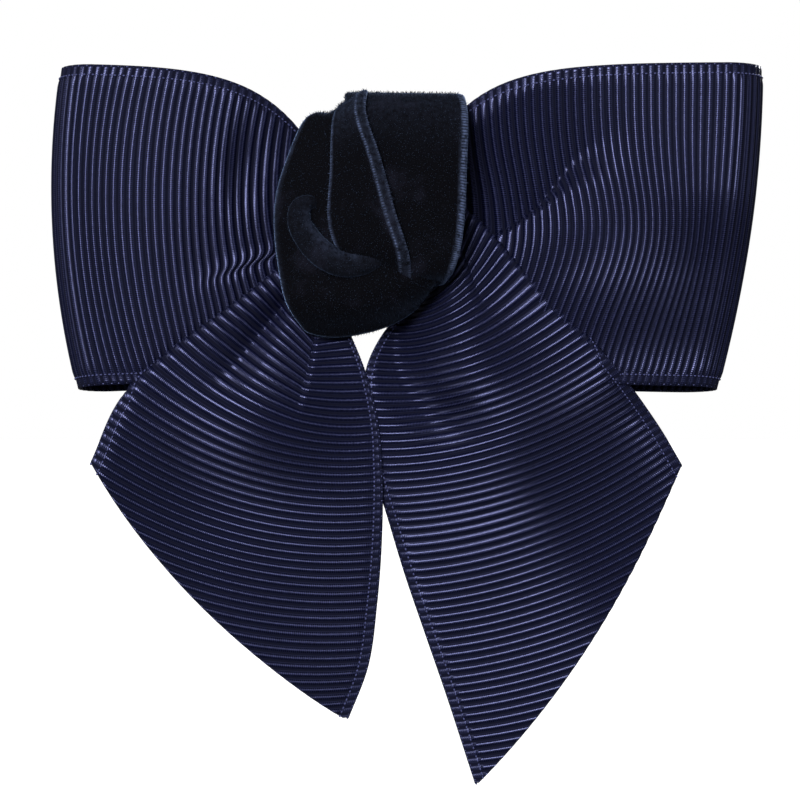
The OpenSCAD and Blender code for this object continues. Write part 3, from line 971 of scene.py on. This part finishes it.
# How much of the woven ground shows at each distance from an edge of the velvet
EDGE_FINISH = {
    "none": lambda gap: 0 * gap,
    "thin": lambda gap: 0.75 * (1 - ease((gap - 0.1) / 0.6)),
    "broad": lambda gap: 1.2 * (1 - ease((gap - 0.6) / 0.8)),
    "corded": lambda gap: (0.55 * hump(gap, 0.1, 0.25) + 0.7 * hump(gap, 1.55, 0.2)
                           + 0.12 * (1 - ease((gap - 1.5) / 0.4))),
}
# Each fold of the knot has a left and a right edge: points (x, forward, z) from top to bottom
# opened: how much painted sheen the top part of a fold gets
BAND = {
    "left": [(-6, 13.5, 16.5), (-9.3, 16, 16.7), (-13, 17.5, 9.5), (-14.8, 17, 1.6),
             (-14.2, 17, -6.4), (-13, 16.5, -12), (-10.5, 13.8, -16)],
    "right": [(4, 13.5, 15), (6, 18, 14), (8, 19.5, 8), (10, 19.5, 0),
              (10.6, 18.5, -5.5), (9.8, 17, -9), (7.6, 13.8, -12)],
    "crown": 3.0, "sag": 2.6, "opened": 0.0,
    "edges": ("thin", "none"),
}
PANEL = {
    "left": [(-4, 13.5, 17.5), (-4, 16, 19.8), (-3.4, 20.3, 17.5), (-2, 21.6, 10), (1, 21.6, 0),
             (4, 20.3, -7), (5, 16, -8.6)],
    "right": [(13.6, 13.5, 17), (14.2, 15.5, 19.6), (14.8, 18.6, 17.5), (14.7, 20, 8),
              (13.8, 20, -3.7), (12.6, 18.5, -7.4), (11.5, 15, -8.8)],
    "crown": 0.8, "sag": 0.4, "opened": 0.12,
    "edges": ("none", "broad"),
}
FLAP = {
    "left": [(-4.6, 14.5, 15), (-4.9, 16.5, 17.5), (-5.7, 20.5, 15.8), (-6.1, 22, 8),
             (-6.3, 22, -0.6), (-4.8, 21, -4.2), (-2.2, 18.5, -5.6)],
    "right": [(-0.6, 14.5, 18), (-0.5, 17.5, 20.4), (-0.7, 22.4, 17), (1.5, 23.6, 10),
              (4, 23.6, 1), (5.9, 22.6, -5), (6.3, 19.5, -9)],
    "crown": 0.5, "sag": 0.0, "opened": 0.3,
    "edges": ("thin", "corded"),
}
# Outline (x, z) of the folded bulk behind them
CORE = [(-9, 15.2), (-3.5, 18.8), (13.2, 18.8), (14, 8), (13.2, -4.6), (11.2, -8.6), (6.6, -11.6),
        (-3, -14.4), (-10, -14.8), (-13.2, -8), (-13.8, 2), (-12, 10)]
# The soft roll: points (x, forward, z, radius)
CURL = [(-8.6, 19.8, 1.4, 0.5), (-9.2, 20.6, 3.0, 1.2), (-10.6, 20.8, 2.4, 1.6),
        (-10.9, 20.8, 0.2, 1.8), (-9.6, 21, -2.4, 2.0), (-7.2, 21.2, -4.9, 2.1),
        (-4.2, 21.2, -6.3, 2.0), (-1.0, 21.0, -6.1, 1.8), (1.8, 20.6, -4.6, 1.5),
        (3.4, 20.0, -3.2, 1.0)]


def chord(points):
    """How far along a line of points each one lies"""
    steps = np.linalg.norm(np.diff(points, axis=0), axis=1)
    return np.concatenate([[0], np.cumsum(steps)])


def velvet_fold(name, fold, rows=64, columns=44):
    """One fold of the knot, as cloth of the velvet's own thickness"""
    left = np.array(fold["left"], float)
    right = np.array(fold["right"], float)
    knots = (chord(left) + chord(right)) / 2
    line = np.linspace(0, knots[-1], rows)
    a, b = through(knots, left, line), through(knots, right, line)
    q = np.linspace(0, 1, columns)[None, :, None]
    centre = a[:, None, :] * (1 - q) + b[:, None, :] * q
    arch = 1 - np.abs(2 * q[..., 0] - 1) ** 2.6
    fade = ease(line / knots[-1] * 5)[:, None] * ease((1 - line / knots[-1]) * 5)[:, None]
    centre[:, :, 1] += fold["crown"] * arch * fade
    centre[:, :, 2] -= fold["sag"] * arch * ease((line / knots[-1] - 0.6) / 0.4)[:, None]
    centre[:, :, 1] *= -1
    out = outward(centre, False)
    width = np.linalg.norm(b - a, axis=1)[:, None]
    from_left = q[..., 0] * width
    from_right = (1 - q[..., 0]) * width
    ground_and_sheen = np.zeros((rows, columns))
    for kind, gap in zip(fold["edges"], (from_left, from_right)):
        ground_and_sheen = np.maximum(ground_and_sheen, EDGE_FINISH[kind](gap))
    # Painted sheen: the top part of each fold, where its pile rolls over, is lightened by the
    # fold's opened share
    opened = 1 - ease(line / knots[-1] / 0.45)[:, None]
    ground_and_sheen = np.maximum(ground_and_sheen, fold["opened"] * opened * np.ones((rows, columns)))
    side = np.concatenate([np.ones(rows * columns), -np.ones(rows * columns)])
    near = np.minimum(from_left, from_right)
    edge_radius = 0.6
    round_off = np.sqrt(np.clip(near / edge_radius, 0.15, 1))
    thick = sizes().velvet_thickness / MM / 2 * round_off
    two = np.vstack([(centre + out * thick[..., None]).reshape(-1, 3),
                     (centre - out * thick[..., None]).reshape(-1, 3)])
    values = {
        "ground_and_sheen": np.tile(ground_and_sheen.ravel(), 2),
        "run": np.tile(np.repeat(line[:, None], columns, axis=1).ravel() * MM, 2),
        "pile": np.where(side > 0, 1 - 0.75 * np.tile(ground_and_sheen.ravel(), 2), 0),
    }
    return make_object(name, two, grid_faces(rows, columns, False), values)


def velvet_curl(sides=28, rings=70):
    """The soft roll of velvet that hugs the end of the flap"""
    spine = np.array(CURL, float)
    knots = chord(spine[:, :3])
    line = np.linspace(0, knots[-1], rings)
    path = through(knots, spine, line)
    place = path[:, [0, 1, 2]] * [1, -1, 1]
    heading = np.gradient(place, axis=0)
    heading /= np.linalg.norm(heading, axis=1, keepdims=True)
    front = np.array([0, -1.0, 0])
    aside = np.cross(heading, front)
    aside /= np.linalg.norm(aside, axis=1, keepdims=True)
    lift = np.cross(aside, heading)
    angle = np.linspace(0, 2 * math.pi, sides, endpoint=False)
    ends = np.sqrt(np.clip(np.minimum(line, knots[-1] - line) / 1.2, 0.02, 1))
    radius = (path[:, 3] * ends)[:, None, None]
    ring = (place[:, None, :]
            + radius * np.cos(angle)[None, :, None] * aside[:, None, :]
            + radius * 0.7 * np.sin(angle)[None, :, None] * lift[:, None, :])
    # Painted sheen: the whole roll a little lighter, with a painted highlight along one side of it
    ground_and_sheen = np.tile(0.05 + 0.2 * hump(angle, 2.5, 0.5), rings)
    values = {
        "ground_and_sheen": ground_and_sheen, "run": np.repeat(line, sides) * MM, "pile": np.ones(rings * sides),
    }
    return make_object("curl", ring.reshape(-1, 3), ring_faces(rings, sides, False), values)


def velvet_core():
    """The folded bulk of the velvet behind the outer folds, drawn in towards the wrap"""
    outline = smooth_corners(np.array(CORE, float), 3)
    middle = outline.mean(axis=0)
    depths = np.array([12.6, 13.0, 14.0, 15.5, 17.0, 18.4, 19.2])
    scales = np.array([0.74, 0.86, 0.95, 1.0, 1.01, 0.97, 0.87])
    rings, sides = len(depths), len(outline)
    ring = np.zeros((rings, sides, 3))
    flat = middle + (outline - middle)[None, :, :] * scales[:, None, None]
    ring[:, :, 0] = flat[:, :, 0]
    ring[:, :, 1] = -depths[:, None]
    ring[:, :, 2] = flat[:, :, 1]
    folds = np.repeat(depths, sides)
    values = {
        "ground_and_sheen": 0.35 * hump(folds, 15.5, 0.3), "run": np.tile(np.arange(sides) * 0.5 * MM, rings),
        "pile": np.ones(rings * sides),
    }
    return make_object("core", ring.reshape(-1, 3), ring_faces(rings, sides, False), values)


def smooth_corners(points, times):
    """Rounds a closed outline by cutting its corners"""
    for _ in range(times):
        following = np.roll(points, -1, axis=0)
        points = np.stack([points * 0.75 + following * 0.25,
                           points * 0.25 + following * 0.75], axis=1).reshape(-1, points.shape[1])
    return points


def velvet_wrap(sides=24):
    """The folded velvet that goes round the gather and the clip's upper jaw"""
    thick = sizes().velvet_thickness / MM
    back = millimetres("velvet_knot")[1][1] - thick / 2
    outline = np.array([
        (-14.2, 8.4), (-8, 8.5), (-2.2, 8.4), (back, 4.6),
        (back, -4.6), (-2.2, -8.4), (-8, -8.5), (-14.2, -8.4)])
    path = smooth_corners(outline, 3)
    heading = np.roll(path, -1, axis=0) - np.roll(path, 1, axis=0)
    heading /= np.linalg.norm(heading, axis=1, keepdims=True)
    out = np.stack([-heading[:, 1], heading[:, 0]], axis=1)
    middle = path.mean(axis=0)
    if ((path - middle) * out).sum() < 0:
        out = -out
    angle = np.linspace(0, 2 * math.pi, sides, endpoint=False)
    half_width = 5.0
    x = half_width * np.sign(np.cos(angle)) * np.abs(np.cos(angle)) ** 0.7
    lift = thick / 2 * np.sign(np.sin(angle)) * np.abs(np.sin(angle)) ** 0.5
    pleat = 0.12 * np.cos(x * 1.9) * (lift > 0)
    rings = len(path)
    ring = np.zeros((rings, sides, 3))
    ring[:, :, 0] = x[None, :]
    ring[:, :, 1] = path[:, None, 0] + out[:, None, 0] * (lift + pleat)[None, :]
    ring[:, :, 2] = path[:, None, 1] + out[:, None, 1] * (lift + pleat)[None, :]
    values = {
        "ground_and_sheen": np.tile(ease((np.abs(x) - 4.2) / 0.7), rings),
        "run": np.repeat(chord(path), sides) * MM,
        "pile": np.tile((lift > 0) * 1.0, rings),
    }
    return make_object("wrap", ring.reshape(-1, 3), ring_faces(rings, sides, True), values)


def make_knot():
    """The folded velvet with its pile"""
    size = sizes()
    folds = [
        velvet_fold("band", BAND), velvet_fold("panel", PANEL), velvet_fold("flap", FLAP),
        velvet_curl(), velvet_core(), velvet_wrap(),
    ]
    for fold in folds:
        recalculate(fold)
    cloth = join("velvet_knot_cloth", folds)
    cloth.data.materials.append(velvet())
    pile = bpy.data.objects.new("velvet_knot_pile", cloth.data.copy())
    bpy.context.scene.collection.objects.link(pile)
    # The fibres wear a copy of the velvet whose pile colours are 1.6 times as light, as painted
    # sheen
    grow(pile, pile_tree(), {
        "Density": size.pile_density, "Length": size.pile_length, "Seed": size.pile_seed,
        "Material": velvet("velvet pile", 1.6)})
    for piece in (cloth, pile):
        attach(piece, BOW)
    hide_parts("velvet_knot")


def recalculate(piece):
    """Turns every face of a closed piece outwards"""
    work = bmesh.new()
    work.from_mesh(piece.data)
    bmesh.ops.recalc_face_normals(work, faces=work.faces)
    work.to_mesh(piece.data)
    work.free()


# ---------------------------------------------------------------- thread and clip

def make_thread():
    """The thread wound round the gathered ribbons"""
    low, high = millimetres("gather_thread")
    size = sizes()
    thick = size.thread / MM
    turns, steps = 5, 48
    k = np.arange(turns * steps + 1)
    angle = 2 * math.pi * k / steps
    half = (high - low) / 2 - thick / 2
    middle = (high + low) / 2
    # The thread follows the gather, which is a rounded oblong
    squared, corner = 1.6, 0.5
    path = np.stack([
        low[0] + thick / 2 + (high[0] - low[0] - thick) * k / k[-1],
        middle[1] + half[1] * np.clip(np.cos(angle) * squared, -1, 1),
        middle[2] + half[2] * np.clip(np.sin(angle) * squared, -1, 1)], axis=1)
    path[1:-1] = path[1:-1] * (1 - corner) + (path[:-2] + path[2:]) / 2 * corner
    points, edges = polylines([path])
    made = make_object("binding_thread", points, [], edges=edges)
    grow(made, wire_tree(), {"Diameter": size.thread, "Material": binding_thread()})
    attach(made, BOW)
    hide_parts("gather_thread")


def make_lining():
    """Ribbed ribbon glued along both faces of the upper jaw and folded round its tip"""
    low, high = millimetres("clip_lining")
    size = sizes()
    thick = size.ribbon_thickness / MM
    inset = thick / 2 + 0.1
    top, bottom = low[1] + inset, high[1] - inset
    radius = (bottom - top) / 2
    tip = low[0] + inset + radius
    length = high[0] - tip
    total = 2 * length + math.pi * radius
    pitch = 0.9
    ribs = int(round(total / pitch))
    pitch = total / ribs
    line = np.linspace(0, total, ribs * RIB_STEPS + 1)
    turn = np.clip((line - length) / radius, 0, math.pi)
    x = np.where(line < length, high[0] - line,
                 np.where(line > total - length, high[0] - (total - line),
                          tip - radius * np.sin(turn)))
    y = (top + bottom) / 2 - radius * np.cos(turn)
    width = high[2] - low[2]
    columns = 25
    across = np.linspace(0, 1, columns)
    centre = np.zeros((len(line), columns, 3))
    centre[:, :, 0] = x[:, None]
    centre[:, :, 1] = y[:, None]
    centre[:, :, 2] = (high[2] - across * width)[None, :]
    s, aside = np.meshgrid(line, across * width, indexing="ij")
    no_selvedge = np.full(s.shape, 10.0)
    made = ribbed_cloth("clip_lining_ribbon", centre, s, aside, no_selvedge, pitch, False, {
        "Rib height": size.rib_height * 0.35, "Thickness": size.ribbon_thickness * 0.7,
        "Selvedge": 0.0005})[0]
    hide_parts("clip_lining")


def make_spring():
    """The coil on the hinge pin, whose two legs press the finger tabs apart"""
    size = sizes()
    joint = frame["joints"][0]
    pin = np.array(joint["pos_m"]) / MM
    low, high = millimetres("torsion_spring")
    wire = size.wire / MM
    turns, steps = 3.5, 40
    coil = (high[2] - low[2] - wire) / 2
    radius, knee = 1.45, 3.5
    off_tab = 0.05
    far = high[0] - wire / 2
    k = np.arange(int(turns * steps) + 1)
    angle = math.radians(90) + 2 * math.pi * k / steps
    wound = np.stack([pin[0] + radius * np.cos(angle), pin[1] + radius * np.sin(angle),
                      coil - 2 * coil * k / k[-1]], axis=1)
    press_low = [(far, high[1] - wire / 2 - off_tab, coil),
                 (pin[0] + knee, pin[1] + radius, coil)]
    press_up = [(pin[0] + knee, pin[1] - radius, -coil),
                (far, low[1] + wire / 2 + off_tab, -coil)]
    path = np.vstack([press_low, wound, press_up])
    points, edges = polylines([path])
    made = make_object("spring_coil", points, [], edges=edges)
    grow(made, wire_tree(), {
        "Diameter": size.wire, "Material": plated_steel("spring wire", 0.9, 0.24)})
    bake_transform(made)
    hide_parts("torsion_spring")


def make_clip():
    """Plates the jaws and the pin, which keep the frame's shapes"""
    finishes = {
        "upper_jaw": plated_steel("upper jaw plating", 1.0, 0.2),
        "lower_jaw": plated_steel("lower jaw plating", 0.96, 0.22),
        "hinge_pin": plated_steel("pin plating", 0.9, 0.18),
    }
    for node, finish in finishes.items():
        for slot in frame["nodes"][node].material_slots:
            slot.material = finish


# ---------------------------------------------------------------- stage

def make_stage():
    """A pale floor under the bow, soft daylight from the upper left and the camera in front"""
    scene = bpy.context.scene
    scene.view_settings.view_transform = "Standard"
    room_below, side = 0.0012, 6.0
    floor_z = FRAME_BOX[0].z - room_below
    corners = [(-side, -side), (side, -side), (side, side), (-side, side)]
    floor = make_object("floor", np.array([(x, y, floor_z) for x, y in corners]) / MM,
                        [(0, 1, 2, 3)])
    material, tree, shader = new_material("pale floor")
    feed(tree, shader, Base_Color=(0.85, 0.85, 0.85, 1), Roughness=0.9,
         Emission_Color=(1, 1, 1, 1), Emission_Strength=0.6)
    floor.data.materials.append(material)
    floor.visible_glossy = False
    floor.visible_diffuse = False

    world = bpy.data.worlds.new("studio")
    scene.world = world
    world.use_nodes = True
    nodes = world.node_tree
    seen = add(nodes, "ShaderNodeLightPath").outputs["Is Camera Ray"]
    strength = calc(nodes, "MULTIPLY_ADD", seen, 0.92, 0.08)
    feed(nodes, nodes.nodes["Background"], Color=(1, 1, 1, 1), Strength=strength)

    lamps = {
        "main softbox": ((-0.26, -1.0, 0.28), 3.0, 24, (1.0, 0.99, 0.97)),
        "left softbox": ((-1.2, -0.7, 0.7), 0.6, 30, (1.0, 0.99, 0.97)),
        "right fill": ((1.3, -1.0, 0.2), 0.25, 40, (0.92, 0.95, 1.0)),
        "back": ((0.5, 1.0, 0.5), 2.6, 30, (1, 1, 1)),
    }
    for name, (source, power, angle, colour) in lamps.items():
        data = bpy.data.lights.new(name, "SUN")
        data.energy = power
        data.angle = math.radians(angle)
        data.color = colour
        lamp = bpy.data.objects.new(name, data)
        lamp.rotation_euler = Vector(source).to_track_quat("Z", "Y").to_euler()
        scene.collection.objects.link(lamp)

    lens, view_width, sensor = 200.0, 0.124, 36.0
    aim = Vector((0.0045, -0.012, -0.0271))
    data = bpy.data.cameras.new("camera")
    data.lens = lens
    data.sensor_width = sensor
    data.clip_end = 50
    camera = bpy.data.objects.new("camera", data)
    camera.location = aim - Vector((0, view_width * lens / sensor, 0))
    camera.rotation_euler = (math.radians(90), 0, 0)
    scene.collection.objects.link(camera)
    scene.camera = camera


# ---------------------------------------------------------------- operators and panel

class HAIRBOW_OT_stage(bpy.types.Operator):
    """Set the floor, the lights and the camera"""
    bl_idname = "hairbow.stage"
    bl_label = "Set the stage"

    def execute(self, context):
        make_stage()
        return {"FINISHED"}


class HAIRBOW_OT_loops(bpy.types.Operator):
    """Make both ribbed loops with their stitched edges"""
    bl_idname = "hairbow.loops"
    bl_label = "Make the loops"

    def execute(self, context):
        make_loops()
        return {"FINISHED"}


class HAIRBOW_OT_tails(bpy.types.Operator):
    """Make both ribbed tails with their stitched edges"""
    bl_idname = "hairbow.tails"
    bl_label = "Make the tails"

    def execute(self, context):
        make_tails()
        return {"FINISHED"}


class HAIRBOW_OT_knot(bpy.types.Operator):
    """Fold the velvet knot and grow its pile"""
    bl_idname = "hairbow.knot"
    bl_label = "Make the velvet knot"

    def execute(self, context):
        make_knot()
        return {"FINISHED"}


class HAIRBOW_OT_thread(bpy.types.Operator):
    """Wind the binding thread round the gather"""
    bl_idname = "hairbow.thread"
    bl_label = "Wind the thread"

    def execute(self, context):
        make_thread()
        return {"FINISHED"}


class HAIRBOW_OT_clip(bpy.types.Operator):
    """Plate the clip, line its upper jaw and fit its spring"""
    bl_idname = "hairbow.clip"
    bl_label = "Finish the clip"

    def execute(self, context):
        make_clip()
        make_lining()
        make_spring()
        return {"FINISHED"}


OPERATORS = [HAIRBOW_OT_stage, HAIRBOW_OT_loops, HAIRBOW_OT_tails, HAIRBOW_OT_thread,
             HAIRBOW_OT_knot, HAIRBOW_OT_clip]


class HAIRBOW_PT_panel(bpy.types.Panel):
    """Lists the steps that make the bow"""
    bl_idname = "HAIRBOW_PT_panel"
    bl_label = "Hair Bow"
    bl_space_type = "VIEW_3D"
    bl_region_type = "UI"
    bl_category = "Hair Bow"

    def draw(self, context):
        for operator in OPERATORS:
            self.layout.operator(operator.bl_idname)
        for settings in (sizes(), colours()):
            for label in settings.__annotations__:
                self.layout.prop(settings, label)


CLASSES = [HairBowSizes, HairBowColours, *OPERATORS, HAIRBOW_PT_panel]


def register():
    for made in CLASSES:
        bpy.utils.register_class(made)
    bpy.types.Scene.hair_bow_sizes = PointerProperty(type=HairBowSizes)
    bpy.types.Scene.hair_bow_colours = PointerProperty(type=HairBowColours)


def unregister():
    del bpy.types.Scene.hair_bow_colours
    del bpy.types.Scene.hair_bow_sizes
    for made in reversed(CLASSES):
        bpy.utils.unregister_class(made)


def main():
    register()
    bpy.ops.hairbow.stage()
    bpy.ops.hairbow.loops()
    bpy.ops.hairbow.tails()
    bpy.ops.hairbow.thread()
    bpy.ops.hairbow.knot()
    bpy.ops.hairbow.clip()


if __name__ == "__main__":
    main()
